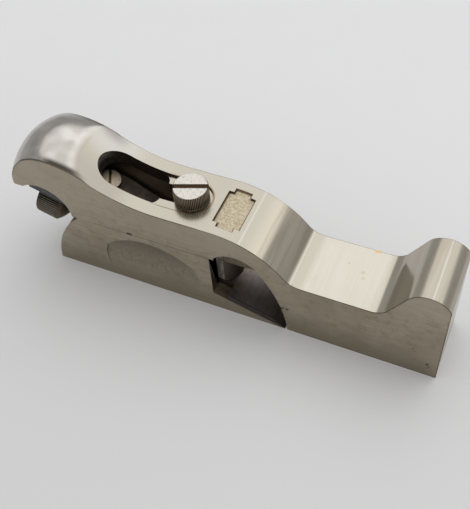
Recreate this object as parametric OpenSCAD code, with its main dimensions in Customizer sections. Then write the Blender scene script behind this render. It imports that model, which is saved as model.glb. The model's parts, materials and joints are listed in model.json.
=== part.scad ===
// Cabinet-maker's rabbet plane with a body in two castings.
// All sizes are in mm. The toe points along +X, the sole lies on z = 0, and the sides face +Y and -Y.

/* [Body] */
// overall length, from the toe to the back of the handle
plane_l = 165.1; // [160:0.1:170]
// width of both castings and of the cutting edge
plane_w = 25.4; // [24:0.1:30]
// thickness of the side walls of both castings
wall_t = 4.2; // [3.6:0.1:4.4]
// height of the joint between the two castings
joint_z = 29.3; // [28.4:0.1:30.2]
// distance from the back of the handle to the heel
heel_in = 12.1; // [11:0.1:13]
// radius of the rounded heel
heel_r = 46; // [42:0.5:60]
// depth of the centre of the heel curve below the sole
heel_drop = 4.4; // [2:0.1:8]
// depth of the finger scoops in the sides of the lower casting
scoop_d = 1.1; // [0.4:0.1:1.6]

/* [Toe] */
// length of the sole in front of the mouth
nose_l = 55.5; // [52:0.1:60]
// height of the deck behind the toe
deck_z = 27.9; // [25:0.1:30]
// height of the top of the toe
toe_top = 44.6; // [42:0.1:48]
// radius of the rounded toe
toe_r = 8.2; // [7.6:0.1:9]
// distance from the front face to the centre of the toe curve
toe_in = 7.4; // [6:0.1:7.5]
// slope of the back of the toe, in degrees
toe_a = 59.5; // [50:0.5:65]
// radius of the hollow between the toe and the deck
toe_fillet_r = 7; // [5:0.1:9]

/* [Saddle] */
// height of the flat saddle around the body screw
saddle_z = 44.4; // [43.4:0.1:46]
// radius of the hump between the saddle and the deck
hump_r = 33.5; // [30:0.1:36]
// distance of the crest of the hump behind the mouth
hump_back = 28; // [26:0.1:30]
// radius of the hollow between the deck and the hump
deck_fillet_r = 8.5; // [6:0.1:10]
// width of the oblong opening and of the recess in front of it
opening_w = 14.8; // [14:0.1:15.4]
// depth of the recess around the body screw
recess_d = 0.9; // [0.5:0.1:1.5]
// length of the notched panel across the hump
panel_l = 18.4; // [14:0.1:19]
// width of the notched panel
panel_w = 10; // [8:0.1:11]
// side of the square notches in the corners of the panel
panel_notch = 1.9; // [1:0.1:2.5]
// depth of the notched panel
panel_d = 0.8; // [0.4:0.1:1.2]

/* [Handle] */
// height of the top of the handle
handle_top = 59.8; // [58:0.1:61]
// radius of the dome across the handle
dome_r = 25.2; // [24:0.1:28]
// radius of the back of the handle, along its middle
handle_r = 18.4; // [17.6:0.1:19]
// radius of the brow in front of the top, along its middle
brow_r = 39; // [37:0.5:42]
// length of the brow, from the top to the ramp
brow_l = 18.6; // [18.2:0.1:18.8]
// radius of the upright corners at the back of the handle
corner_r = 2.5; // [1.5:0.1:4]
// slope of the ramp from the saddle up to the handle, in degrees
ramp_a = 27.5; // [26:0.5:29]
// radius of the hollow between the saddle and the ramp
ramp_r = 54; // [48:0.5:58]
// radius of the sweep in which the ramp turns up into the handle
sweep_r = 16; // [14:0.5:22]
// radius of the hollow under the handle
grip_r = 11.6; // [11:0.1:12.2]
// height of the lip at the back of the handle
lip_z = 39; // [38.6:0.1:40]

/* [Mouth] */
// opening of the mouth in front of the cutting edge
mouth_gap = 0.8; // [0.7:0.1:2]
// how far the upper casting can slide forward to open the mouth
mouth_open = 2; // [0.5:0.1:2]
// how far the upper casting can slide back to close the mouth
mouth_close = 0.3; // [0.1:0.05:0.3]
// length of the throat from the cutting edge to the cheeks
throat_l = 28.5; // [27.5:0.1:29.5]
// radius of the curved front wall of the throat
throat_r = 58; // [50:0.5:70]
// height of the arch over the throat, at the sides
arch_top = 34.3; // [32.5:0.1:35]
// radius of the arch over the throat
arch_r = 10.5; // [9.5:0.1:11.5]
// height of the roof of the throat between its side pockets
throat_roof = 24.6; // [23:0.1:26]

/* [Cutter] */
// angle of the bed, in degrees
bed_a = 17; // [16.6:0.1:17.4]
// thickness of the cutter
cutter_t = 3.2; // [2.8:0.1:3.4]
// length of the full-width head of the cutter
head_l = 24.5; // [22:0.1:24.6]
// width of the narrow tail of the cutter
tail_w = 15; // [14:0.1:15.2]
// angle of the ground bevel, in degrees
bevel_a = 25; // [20:0.5:30]

/* [Lever cap] */
// width of the lever cap
cap_w = 15; // [13:0.1:15.5]
// radius of the round front of the nose, seen from above
nose_r = 8.7; // [8:0.1:10]
// height of the top of the nose
cap_z = 26.6; // [24:0.1:28]
// thickness of the lever cap below the bridge
cap_t = 4; // [3.2:0.1:4.4]
// height of the tail above the cutter
cap_lift = 3.8; // [3:0.1:4.5]
// thickness of the tail around the screw
cap_tail_t = 6.4; // [5:0.1:7]
// radius of the rib on which the lever cap rocks
rib_r = 1.5; // [1:0.1:2]

/* [Screws] */
// radius of the head of the body screw
screw_head_r = 6.4; // [5.8:0.1:6.5]
// height of the head of the body screw
screw_head_h = 6.5; // [4.5:0.1:8]
// radius of the shank of the body screw
screw_r = 3.5; // [3:0.1:3.8]
// radius of the head of the lever cap screw
cap_screw_head_r = 4.4; // [4:0.1:4.8]
// height of the head of the lever cap screw
cap_screw_head_h = 3.4; // [3:0.1:4]
// radius of the shank of the lever cap screw
cap_screw_r = 2.5; // [2:0.1:2.8]
// width of the slot of the body screw
slot_w = 1.4; // [1:0.1:2.2]
// width of the slot of the lever cap screw
cap_slot_w = 1; // [0.8:0.1:1.6]
// depth of the screwdriver slots
slot_d = 1.8; // [1:0.1:2]
// direction of the slot of the body screw, in degrees from the toe
screw_turn = 20; // [0:1:180]
// direction of the slot of the lever cap screw, in degrees from the toe
cap_screw_turn = 116; // [0:1:180]

/* [Adjuster] */
// radius of the knurled nut
nut_r = 8.9; // [8.7:0.1:9.2]
// length of the knurled part of the nut, with the slope in front of it
nut_l = 10; // [8:0.1:11]
// length of the round front of the nut
nut_nose_l = 1.8; // [1.4:0.1:3]
// room between the nut and the heel
nut_room = 3.4; // [2:0.1:4]
// depth of the stud below the bed
stud_drop = 7.8; // [7.6:0.1:8]
// radius of the stud
stud_r = 2.5; // [2:0.1:3]

/* [Fits] */
// gap all round between a shaft and the hole it turns in
fit = 0.05; // [0.03:0.01:0.08]
// end play of the nut in its window
play = 0.15; // [0.1:0.01:0.3]
// gap between pieces that pass each other
gap = 0.6; // [0.5:0.05:0.8]

/* [Hidden] */
$fn = 96;
big_fn = 180;
far = 400;
lap = 1;
// how far the arcs of the top line run into the lines that they meet
blend = 0.01;
x_toe = plane_l / 2;
x_back = -plane_l / 2;
x_lip = x_toe - nose_l;
x_edge = x_lip - mouth_gap;
x_wall = x_edge - throat_l;
core_w = plane_w - 2 * wall_t;

// a point u behind the cutting edge and v above the bed, seen from the side
function on_bed(u, v) = [
    x_edge - u * cos(bed_a) + v * sin(bed_a),
    u * sin(bed_a) + v * cos(bed_a)
];
// how far behind the cutting edge a point at x lies, at height v above the bed
function bed_u(x, v) = (x_edge - x + v * sin(bed_a)) / cos(bed_a);
// the point at x, at height v above the bed
function above_bed(x, v) = on_bed(bed_u(x, v), v);
// height of half a circle of radius r at distance d from its centre
function rise(r, d) = sqrt(max(0, r * r - d * d));

// heel
heel_c = [x_back + heel_in + rise(heel_r, heel_drop), -heel_drop];

// toe, from its front face down to the deck
toe_c = [x_toe - toe_in, toe_top - toe_r];
toe_end = toe_c + toe_r * [-sin(toe_a), cos(toe_a)];
toe_fillet_z = deck_z + toe_fillet_r * (1 - cos(toe_a));
toe_fillet_x = toe_end.x - toe_fillet_r * sin(toe_a) - (toe_end.y - toe_fillet_z) / tan(toe_a);
toe_fillet_end = [toe_fillet_x + toe_fillet_r * sin(toe_a), toe_fillet_z];

// hump, touched by the hollow that runs down to the deck
hump_c = [x_lip - hump_back, saddle_z - hump_r];
deck_fillet_z = deck_z + deck_fillet_r;
touch_r = hump_r + deck_fillet_r;
deck_fillet_c = [hump_c.x + rise(touch_r, deck_fillet_z - hump_c.y), deck_fillet_z];
hump_end = hump_c + (deck_fillet_c - hump_c) * hump_r / touch_r;
panel_in = 4.2;

// handle: a dome turned about a line along the plane, with the ramp and its sweep rising into its brow
x_handle = x_back + handle_r;
dome_z = handle_top - dome_r;
x_brow = x_handle + brow_l;
brow_step = 0.05;
brow_z = dome_z + rise(dome_r - brow_r + rise(brow_r, brow_l), plane_w / 2) - brow_step;
ramp_start_z = saddle_z + ramp_r * (1 - cos(ramp_a));
ramp_start = [x_brow + (brow_z - ramp_start_z) / tan(ramp_a), ramp_start_z];
ramp_c = [ramp_start.x + ramp_r * sin(ramp_a), saddle_z + ramp_r];
sweep_c = [x_brow + sweep_r * sin(ramp_a), brow_z + sweep_r * cos(ramp_a)];
grip_back = 5.8;
grip_lift = 0.6;
grip_c = [x_handle - grip_back, joint_z + grip_lift];
x_notch = grip_c.x + rise(grip_r, grip_c.y - joint_z);

// hollow of the upper casting
notch_wall = 2.1;
x_hollow = x_notch + notch_wall;
roof_t = 5.5;
handle_roof_t = 13.2;
hollow_top = handle_top - handle_roof_t;

// throat
throat_drop = 3.7;
throat_c = [x_lip - rise(throat_r, throat_drop), -throat_drop];
arch_c_z = arch_top - arch_r;
arch_join = 0.64;
arch_join_z = arch_c_z + arch_join * arch_r;
x_arch_join = throat_c.x + rise(throat_r, arch_join_z - throat_c.y);
arch_c = [x_arch_join - rise(arch_r, arch_join_z - arch_c_z), arch_c_z];
arch_in = 1.9;
x_arch = x_wall + arch_in;

// body screw and the bridge that holds it
screw_back = 10.7;
x_screw = x_wall - screw_back;
bridge_l = 14;
key_h = 2.4;
floor_z = saddle_z - recess_d;
pad_h = 1.2;
neck_v = cutter_t + pad_h + cap_t;
rib_v = neck_v + gap;
rib_c = above_bed(x_screw, rib_v);
screw_tip_h = 3;
screw_tip_z = rib_c.y + screw_tip_h;
x_bridge_back = x_screw - bridge_l / 2;
x_bridge_front = x_screw + bridge_l / 2;

// oblong opening, with its neck behind the body screw
opening_in = 8;
x_open = x_hollow + opening_in;
neck_back = 10.9;
x_neck = x_screw - neck_back;
shoulder_r = 4;
screw_gap = 0.3;
neck_w = 2 * (screw_r + screw_gap);

// lever cap and its screw
nose_out = 6.9;
x_nose = x_wall + nose_out;
x_nose_back = x_bridge_front + 2 * gap;
tail_v = cutter_t + cap_lift;
tail_top_v = tail_v + cap_tail_t;
boss_t = 1.5;
boss_r = cap_screw_r + boss_t;
head_v = tail_top_v + 3 * gap;
screw_chamfer = 0.4;
// the screw stands clear of the back of the hollow, and its head under the roof
wall_u = bed_u(x_hollow + mouth_open + gap, tail_v) - boss_r;
head_roof_z = hollow_top - gap - (head_v + cap_screw_head_h) * cos(bed_a);
cap_screw_u = min(wall_u, head_roof_z / sin(bed_a) - cap_screw_head_r);
cap_end_u = cap_screw_u + boss_r;

// finger scoops
scoop_back = 14.2;
scoop_drop = 27.7;
scoop_c = [x_screw - scoop_back, joint_z - scoop_drop];
scoop_r = 25;
scoop_end_r = 19.6;
scoop_end_z = 11.5;
scoop_low_z = 6;

// adjuster: the heel surface on the line of the stud, then the nut behind it
stud_a = x_edge - stud_drop * sin(bed_a) - heel_c.x;
stud_b = -stud_drop * cos(bed_a) - heel_c.y;
stud_m = stud_a * cos(bed_a) - stud_b * sin(bed_a);
heel_u = stud_m + sqrt(stud_m * stud_m - stud_a * stud_a - stud_b * stud_b + heel_r * heel_r);
stud_root = 12;
nut_front_u = heel_u + nut_room;
nut_step_u = nut_front_u + nut_nose_l;
nut_back_u = nut_step_u + nut_l;
nut_clear = 0.35;
nut_nose_r = stud_drop - nut_clear;
nut_tip_t = 2;
nut_tip_r = stud_r + nut_tip_t;
nut_chamfer = 0.5;
stud_in = 2;
stud_end_u = nut_back_u - stud_in;
window_w = 2 * (rise(nut_r, stud_drop) + gap);
window_end = 3.6;
cutter_l = nut_back_u + play + window_end;

// a side view given w thick, centred on the width
module side(w) {
    rotate([90, 0, 0]) linear_extrude(w, center = true) children();
}

// a shape set on the bed: x runs forward to the cutting edge, z stands up from the bed
module bed() {
    translate([x_edge, 0, 0]) rotate([0, bed_a, 0]) children();
}

// a shape turned about the line of the stud, its z running backwards from u
module stud_line(u) {
    bed() translate([-u, 0, -stud_drop]) rotate([0, -90, 0]) children();
}

// a plan outline given height from z0 to z1
module plan(z0, z1) {
    translate([0, 0, z0]) linear_extrude(z1 - z0) children();
}

// a rectangle by its low and high corners
module area(x0, y0, x1, y1) {
    translate([x0, y0]) square([x1 - x0, y1 - y0]);
}

// a slot in plan with round ends at x0 and x1
module oblong(x0, x1, w) {
    r = w / 2;
    area(x0 + r, -r, x1 - r, r);
    for (x = [x0 + r, x1 - r]) translate([x, 0]) circle(r);
}

// all that lies below the top line of the plane, from the toe to the sweep in front of the handle
module top_line() {
    difference() {
        union() {
            polygon([
                [x_toe, 0], [x_toe, toe_c.y], toe_c, toe_end, toe_fillet_end, [toe_fillet_x, deck_z],
                [deck_fillet_c.x, deck_z], hump_end, [hump_c.x, saddle_z], [ramp_c.x, saddle_z],
                ramp_start, [x_brow, brow_z], [x_brow, sweep_c.y], [x_back, sweep_c.y], [x_back, 0]
            ]);
            intersection() {
                union() {
                    translate(toe_c) circle(toe_r + blend);
                    translate(hump_c) circle(hump_r + blend, $fn = big_fn);
                }
                area(x_back, 0, x_toe, far);
            }
        }
        translate([toe_fillet_x, deck_z + toe_fillet_r]) circle(toe_fillet_r + blend);
        translate(deck_fillet_c) circle(deck_fillet_r + blend);
        intersection() {
            translate(ramp_c) circle(ramp_r + blend, $fn = big_fn);
            area(x_brow, 0, far, far);
        }
        intersection() {
            translate(sweep_c) circle(sweep_r + blend, $fn = big_fn);
            area(x_back, 0, x_brow + lap, far);
        }
    }
}

// the dome of the handle, and all the room in front of it
module dome_room() {
    translate([x_handle, 0, dome_z]) rotate([0, 90, 0]) rotate_extrude($fn = big_fn) {
        intersection() {
            translate([dome_r - handle_r, 0]) circle(handle_r, $fn = big_fn);
            area(0, -far, far, 0);
        }
        intersection() {
            translate([dome_r - brow_r, 0]) circle(brow_r, $fn = big_fn);
            area(0, 0, far, brow_l);
        }
    }
    translate([x_brow, -far / 2, 0]) cube(far);
}

// plan of the upper casting, with its two round corners at the back
module round_back() {
    w = plane_w / 2;
    area(x_back + corner_r, -w, x_toe, w);
    area(x_back, corner_r - w, x_toe, w - corner_r);
    for (s = [-1, 1]) translate([x_back + corner_r, s * (w - corner_r)]) circle(corner_r);
}

// throat behind its curved front wall, up to a height
module throat(z) {
    intersection() {
        translate(throat_c) circle(throat_r, $fn = big_fn);
        area(x_arch, -lap, x_toe, z);
    }
}

// side pocket of the throat, with its arched top
module pocket() {
    throat(arch_join_z);
    intersection() {
        translate(arch_c) circle(arch_r);
        area(x_arch, arch_c_z, x_toe, far);
    }
}

// hollow between the walls of the upper casting, under a roof of even thickness
module hollow() {
    difference() {
        area(x_hollow, joint_z - lap, x_nose - nose_r, hollow_top);
        translate(ramp_c) circle(ramp_r + roof_t, $fn = big_fn);
        area(ramp_c.x, saddle_z - roof_t, far, far);
    }
}

// oblong opening in plan: round behind, with round shoulders in front and a slot for the body screw
module opening() {
    w = opening_w / 2;
    translate([x_open + w, 0]) circle(w);
    area(x_open + w, -w, x_neck - shoulder_r, w);
    area(x_neck - 2 * shoulder_r, shoulder_r - w, x_neck, w - shoulder_r);
    for (s = [-1, 1]) translate([x_neck - shoulder_r, s * (w - shoulder_r)]) circle(shoulder_r);
    oblong(x_neck - neck_w, x_screw + mouth_close + screw_gap + neck_w / 2, neck_w);
}

// notched panel in plan
module panel() {
    translate([hump_c.x + panel_in, 0]) {
        square([panel_w, panel_l - 2 * panel_notch], center = true);
        square([panel_w - 2 * panel_notch, panel_l], center = true);
    }
}

module upper_body() {
    color("gainsboro") difference() {
        intersection() {
            side(plane_w) top_line();
            dome_room();
            plan(0, far) round_back();
        }
        // room for the lower casting, and the throat with its side pockets
        side(far) area(-far, -lap, x_arch, joint_z);
        side(far) throat(throat_roof);
        for (s = [-1, 1]) translate([0, s * (core_w + far) / 2, 0]) side(far) pocket();
        // hollow under the handle, and its lip
        side(far) translate(grip_c) circle(grip_r);
        side(far) area(-far, 0, grip_c.x, lip_z);
        // hollow between the walls, round in front for the nose of the lever cap
        side(core_w) hollow();
        intersection() {
            plan(0, saddle_z - roof_t)
                translate([x_nose - nose_r, 0]) circle(nose_r + 2 * gap + mouth_close);
            side(core_w) area(x_arch, 0, far, far);
        }
        // way out for the tail of the cutter
        side(core_w) area(grip_c.x, joint_z - lap, x_hollow + lap, above_bed(x_notch, cutter_t).y + 3 * gap);
        // opening, and the recess in front of it
        plan(joint_z, far) opening();
        plan(floor_z, far) oblong(x_open, x_screw + opening_w / 2 + mouth_close, opening_w);
        // notched panel, a little below the hump
        difference() {
            plan(hump_c.y, far) panel();
            side(far) {
                translate(hump_c) circle(hump_r + blend - panel_d, $fn = big_fn);
                area(-far, 0, hump_c.x, saddle_z - panel_d);
            }
        }
    }
}

// side view of the lower casting
module lower_side() {
    intersection() {
        polygon([[x_back, 0], [x_edge, 0], above_bed(x_wall, 0), [x_wall, joint_z], [x_back, joint_z]]);
        union() {
            translate(heel_c) circle(heel_r, $fn = big_fn);
            area(heel_c.x, 0, far, far);
        }
    }
}

// finger scoop on the right side: deepest under its upper edge, running out below
module scoop() {
    top_z = scoop_c.y + scoop_r;
    intersection() {
        side(far) intersection() {
            translate(scoop_c) circle(scoop_r, $fn = big_fn);
            translate([scoop_c.x, scoop_end_z]) circle(scoop_end_r);
        }
        rotate([90, 0, 90]) linear_extrude(far, center = true) polygon([
            [-plane_w / 2, scoop_low_z], [-plane_w, scoop_low_z],
            [-plane_w, top_z], [scoop_d - plane_w / 2, top_z]
        ]);
    }
}

module lower_body() {
    color("silver") difference() {
        union() {
            difference() {
                side(plane_w) lower_side();
                bed() translate([-far, -core_w / 2, 0]) cube([2 * far, core_w, far]);
            }
            // bridge, with a key above the joint that runs between the walls of the upper casting
            side(core_w + wall_t) polygon([
                above_bed(x_bridge_back, rib_v), above_bed(x_bridge_front, rib_v),
                [x_bridge_front, joint_z], [x_bridge_back, joint_z]
            ]);
            side(core_w - 2 * fit) area(x_bridge_back, joint_z - lap, x_bridge_front, joint_z + key_h);
            translate([rib_c.x, 0, rib_c.y]) rotate([90, 0, 0])
                cylinder(r = rib_r, h = core_w + wall_t, center = true);
        }
        translate([x_screw, 0, screw_tip_z - gap]) cylinder(r = screw_r + fit, h = far);
        stud_line(heel_u - stud_root) cylinder(r = stud_r, h = far);
        scoop();
        mirror([0, 1, 0]) scoop();
    }
}

module cutter() {
    color("dimgray") bed() difference() {
        union() {
            translate([-head_l, -plane_w / 2, 0]) cube([head_l, plane_w, cutter_t]);
            translate([-cutter_l, -tail_w / 2, 0]) cube([cutter_l, tail_w, cutter_t]);
        }
        // ground bevel, on top
        rotate([0, bevel_a, 0]) translate([-far / 2, -far / 2, 0]) cube(far);
        // window for the adjuster nut
        translate([-nut_back_u - play, -window_w / 2, -lap])
            cube([nut_l - nut_clear + 2 * play, window_w, cutter_t + 2 * lap]);
    }
}

module lever_cap() {
    color("gray") difference() {
        intersection() {
            side(cap_w) polygon([
                above_bed(x_nose, cutter_t), above_bed(x_wall, cutter_t), above_bed(x_wall, cutter_t + pad_h),
                above_bed(x_bridge_back, cutter_t + pad_h), on_bed(cap_screw_u - 2 * boss_r, tail_v),
                on_bed(cap_end_u, tail_v), on_bed(cap_end_u, tail_top_v),
                on_bed(cap_screw_u - 1.2 * boss_r, tail_top_v), above_bed(x_bridge_back - gap, neck_v),
                above_bed(x_nose_back, neck_v), [x_nose_back, cap_z], [x_nose, cap_z]
            ]);
            plan(0, far) {
                translate([x_nose - nose_r, 0]) circle(nose_r);
                area(-far, -cap_w, x_nose - nose_r, cap_w);
            }
        }
        // seat of the rib, and the hole of the screw
        translate([rib_c.x, 0, rib_c.y]) rotate([90, 0, 0]) cylinder(r = rib_r + fit, h = far, center = true);
        bed() translate([-cap_screw_u, 0, 0]) cylinder(r = cap_screw_r + screw_gap, h = far);
    }
}

// a slotted screw, its head from z = 0 up and its shank below
module slotted_screw(head_r, head_h, r, l, slot, turn) {
    difference() {
        union() {
            translate([0, 0, -l]) cylinder(r = r, h = l + head_h / 2);
            cylinder(r = head_r, h = head_h - screw_chamfer);
            translate([0, 0, head_h - screw_chamfer])
                cylinder(r1 = head_r, r2 = head_r - screw_chamfer, h = screw_chamfer);
        }
        rotate(turn) translate([-far / 2, -slot / 2, head_h - slot_d]) cube([far, slot, far]);
    }
}

module lever_cap_screw() {
    l = head_v - cutter_t;
    color("darkgray") bed() translate([-cap_screw_u, 0, head_v])
        slotted_screw(cap_screw_head_r, cap_screw_head_h, cap_screw_r, l, cap_slot_w, cap_screw_turn);
}

module body_screw() {
    l = floor_z - screw_tip_z;
    color("lightgray") translate([x_screw, 0, floor_z])
        slotted_screw(screw_head_r, screw_head_h, screw_r, l, slot_w, screw_turn);
}

module adjuster_stud() {
    color("gray") stud_line(heel_u - stud_root) cylinder(r = stud_r, h = stud_end_u - heel_u + stud_root);
}

module adjuster_nut() {
    // a ball cut off at the slope and at the tip gives the round front
    ball_z = (pow(nut_nose_r, 2) + pow(nut_nose_l, 2) - pow(nut_tip_r, 2)) / (2 * nut_nose_l);
    ball_r = sqrt(pow(nut_tip_r, 2) + ball_z * ball_z);
    slope_l = nut_r - nut_nose_r;
    color("dimgray") stud_line(nut_front_u) difference() {
        union() {
            rotate_extrude() intersection() {
                translate([0, ball_z]) circle(ball_r);
                area(0, 0, far, nut_nose_l + lap);
                area(0, 0, nut_nose_r, far);
            }
            translate([0, 0, nut_nose_l]) cylinder(r1 = nut_nose_r, r2 = nut_r, h = slope_l);
            translate([0, 0, nut_nose_l + slope_l]) cylinder(r = nut_r, h = nut_l - slope_l - nut_chamfer);
            translate([0, 0, nut_nose_l + nut_l - nut_chamfer])
                cylinder(r1 = nut_r, r2 = nut_r - nut_chamfer, h = nut_chamfer);
        }
        translate([0, 0, -lap]) cylinder(r = stud_r + fit, h = far);
    }
}

lower_body();
upper_body();
cutter();
lever_cap();
lever_cap_screw();
body_screw();
adjuster_stud();
adjuster_nut();
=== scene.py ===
"""Looks of a nickel-plated shoulder plane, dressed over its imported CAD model.

Camera, lights and the size of the floor are in metres.
Sizes of pieces and places in materials are in millimetres of the part.
"""

import json
import math

import bpy
from mathutils import Euler, Matrix, Vector


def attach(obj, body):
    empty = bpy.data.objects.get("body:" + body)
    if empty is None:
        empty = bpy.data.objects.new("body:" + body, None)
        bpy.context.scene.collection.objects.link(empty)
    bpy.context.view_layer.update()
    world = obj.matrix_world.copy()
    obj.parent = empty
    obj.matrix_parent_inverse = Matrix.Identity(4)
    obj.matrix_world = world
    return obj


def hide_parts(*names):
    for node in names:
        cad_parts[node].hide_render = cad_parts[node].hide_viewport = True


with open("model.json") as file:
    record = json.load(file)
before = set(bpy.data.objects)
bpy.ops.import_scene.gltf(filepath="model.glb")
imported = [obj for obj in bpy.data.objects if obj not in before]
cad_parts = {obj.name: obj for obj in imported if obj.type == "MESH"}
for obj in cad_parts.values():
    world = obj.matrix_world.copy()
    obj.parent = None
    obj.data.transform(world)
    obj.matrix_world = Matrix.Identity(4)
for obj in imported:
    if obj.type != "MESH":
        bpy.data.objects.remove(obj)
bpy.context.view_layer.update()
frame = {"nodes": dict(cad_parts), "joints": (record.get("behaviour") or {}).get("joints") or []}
nodes = frame["nodes"]
joints = {joint["name"]: joint for joint in frame["joints"]}

MM = 0.001

# camera, fitted to the straight edges of the plane in the photograph
CAMERA_PLACE = (0.08902, -0.16145, 0.25297)
CAMERA_TURN = (37.875, 3.745, 23.612)
CAMERA_LENS = 56.996
CAMERA_SENSOR = 36.0
CAMERA_CLIP = 0.01

# light: middle and soft edge of the bright patch of the sky, levels of room and patch, and the soft box
SKY_PATCH = (0.04, 0.28, 0.959)
SKY_EDGE = (0.605, 0.735)
ROOM_LEVEL = 0.51
SKY_LEVEL = 1.36
LAMP_PLACE = (0.15, 0.35, 0.75)
LAMP_TARGET = (0.0, 0.0, 0.02)
LAMP_SIZE = 0.7
LAMP_POWER = 1.0

# floor: its size in metres, and in millimetres where painted shade greys the paper to the front and far away
FLOOR_SIZE = 6.0
FLOOR_FRONT_Y = (130.0, -130.0)
FLOOR_FAR = (330.0, 900.0)
PAPER = ((0.675, 0.675, 0.678), (0.695, 0.695, 0.698))
PAPER_FRONT_SHADE = (0.60, 0.60, 0.602)
PAPER_FAR_SHADE = (0.50, 0.50, 0.50)

# sizes that the materials share with the solids, in millimetres
JOINT_Z = 29.3
DECK_Z = 27.9
SADDLE_Z = 44.4
SIDE_Y = 12.7
BROW_X = -45.55
SWEEP_CENTRE = (-38.16, 0.0, 64.81)
SWEEP_R = 16.0
RECESS_X = (-40.3, -12.65)
RECESS_HALF_WIDTH = 7.4
HUMP_CENTRE = (-0.95, 0.0, 10.9)
HUMP_R = 33.5
PANEL_CENTRE_X = 3.25
PANEL_HALF_X = 5.0
PANEL_HALF_Y = 9.2
PANEL_NOTCH = 1.9

# sizes of the turned pieces, in millimetres and degrees; the body screw's slot is wider than in its solid
SCREW_HEAD_R = 6.4
SCREW_SHANK_R = 3.5
SCREW_KNURL_LOW = 0.35
SCREW_KNURL_EASE = 0.1
SCREW_GROOVE = 0.28
SCREW_CHAMFER = 0.4
SCREW_TURN = 20.0
SCREW_PITCH = 1.0
SCREW_THREAD_D = 0.3
SLOT_W = 1.9
SLOT_D = 1.8
CAP_SCREW_HEAD_R = 4.4
CAP_SCREW_HEAD_H = 3.4
CAP_SCREW_SHANK_R = 2.5
CAP_SCREW_TURN = 116.0
CAP_SLOT_W = 1.0
NUT_R = 8.9
NUT_NOSE_R = 7.45
NUT_NOSE_L = 1.8
NUT_TIP_R = 4.5
NUT_BORE_R = 2.55
NUT_GROOVE = 0.42
NUT_CHAMFER = 0.5
NUT_SLOPE_LEVELS = (0.2, 0.4)
STUD_R = 2.5
STUD_PITCH = 0.8
STUD_THREAD_D = 0.25

# counts for the turned pieces: ridges of a knurl, points round a piece, levels along it
SCREW_RIDGES = 64
NUT_RIDGES = 60
POINTS_PER_RIDGE = 6
CAP_SCREW_POINTS = 96
STUD_POINTS = 48
LEVELS_PER_TURN = 6
NUT_NOSE_STEPS = 10

# helping sizes of the shapes, in millimetres: gaps between levels at a step, the blade that cuts the slots
STEP_GAP = 0.02
NOSE_GAP = 0.001
BLADE_L = 60.0
BLADE_OVER = 1.0

# form of a knurl: power that shapes its ridges, share of its depth on the slope of the nut
RIDGE_POWER = 1.3
SLOPE_CUT = 0.6

# rounded edges: widths in millimetres, and how many degrees an edge has to turn to be rounded
CAD_EDGE = (0.25, 28.0)
SCREW_EDGE = (0.10, 50.0)
NUT_EDGE = (0.12, 50.0)
STUD_EDGE = (0.05, 60.0)

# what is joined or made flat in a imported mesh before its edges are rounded, in millimetres and degrees
WELD_GAP = 0.001
FLAT_ANGLE = 0.2

# places of tints and of changes in gloss, in millimetres: where one begins and where it is full,
# and with four numbers also where it starts to fade and where it ends
FOOT_Z = (16.0, 2.0)
HIGH_SIDE_Z = (28.0, 40.0)
ABOVE_SOLE_Z = (0.5, 1.0)
JOINT_FRONT_X = (-0.5, -2.0)
JOINT_FAINT_X = (-54.0, -46.0)
NICK_X = (-35.2, -34.9, -33.0, -32.7)
NICK_Y = (-12.0, -12.5)
NICK_Z = (28.9, 29.1, 30.0, 30.2)
TOP_Z = (48.0, 50.0)
CREASE_Z = (48.0, 49.0)
HANDLE_Z = (39.3, 40.0)
HANDLE_BACK_X = (-60.0, -68.0)
RIM_X = (-77.0, -73.0, -49.0, -45.0)
RIM_AWAY = (12.1, 12.45)
RIM_SHADE_X = (-68.0, -60.0, -53.0, -46.5)
RIM_SHADE_AWAY = (10.2, 11.9)
RIM_FAR_Y = (-5.0, 5.0)
FAR_EDGE_X = (-55.0, -50.0, -48.0, -41.0)
FAR_EDGE_Y = (7.0, 12.0)
RAMP_FAR_X = (-34.0, -42.0)
RAMP_FAR_Y = (-2.0, 7.0)
RAMP_NEAR_X = (-58.0, -52.0, -40.0, -30.0)
RAMP_NEAR_Y = (4.0, -8.0)
SADDLE_X = (-30.0, -24.0, -4.0, 2.0)
PANEL_Z = (38.0, 40.0)
HUMP_TARNISH_X = (26.0, 14.0)
SLOPE_X = (5.0, 12.0, 56.0, 62.0)
SLOPE_FOOT_X = (22.0, 28.0, 30.0, 40.0)
STREAKED_X = (14.0, 18.0, 27.0, 30.0)
FILLET_X = (27.0, 29.5, 31.0, 34.0)
TOE_X = (55.0, 62.0)
TOE_SLOPE_X = (59.0, 63.0, 67.0, 70.0)
TOE_NOSE_X = (67.5, 70.0)
EDGE_DECK_X = (20.5, 21.5)
EDGE_HUMP_X = (-1.5, -0.5)
INNER_X = (-62.0, -58.0, 20.0, 26.0)
INNER_AWAY = (8.45, 8.3)
POCKET_X = (-1.0, 0.0, 27.2, 27.5)
POCKET_AWAY = (8.4, 8.48, 12.2, 12.4)
POCKET_Z = (36.0, 35.0)
SCOOP_AWAY = (11.0, 11.2, 12.5, 12.68)
SCOOP_DEEP_AWAY = (12.3, 11.6)
SCOOP_Z = (7.0, 14.0)
HEEL_X = (-60.0, -64.0)
BED_AWAY = (8.9, 8.6)
CHEEK_X = (-3.0, -2.5)
LEDGE_X = (-3.0, -2.0)
LEDGE_Z = (20.0, 18.0)
CUTTER_RUST_X = (-6.0, 0.0, 4.0, 12.0)
CUTTER_TAIL_X = (-52.0, -58.0)
CUTTER_COVERED_AWAY = (7.2, 6.2)
CAP_FRONT_X = (-6.0, -3.0)
CAP_NOSE_X = (-2.0, 0.0)

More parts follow.
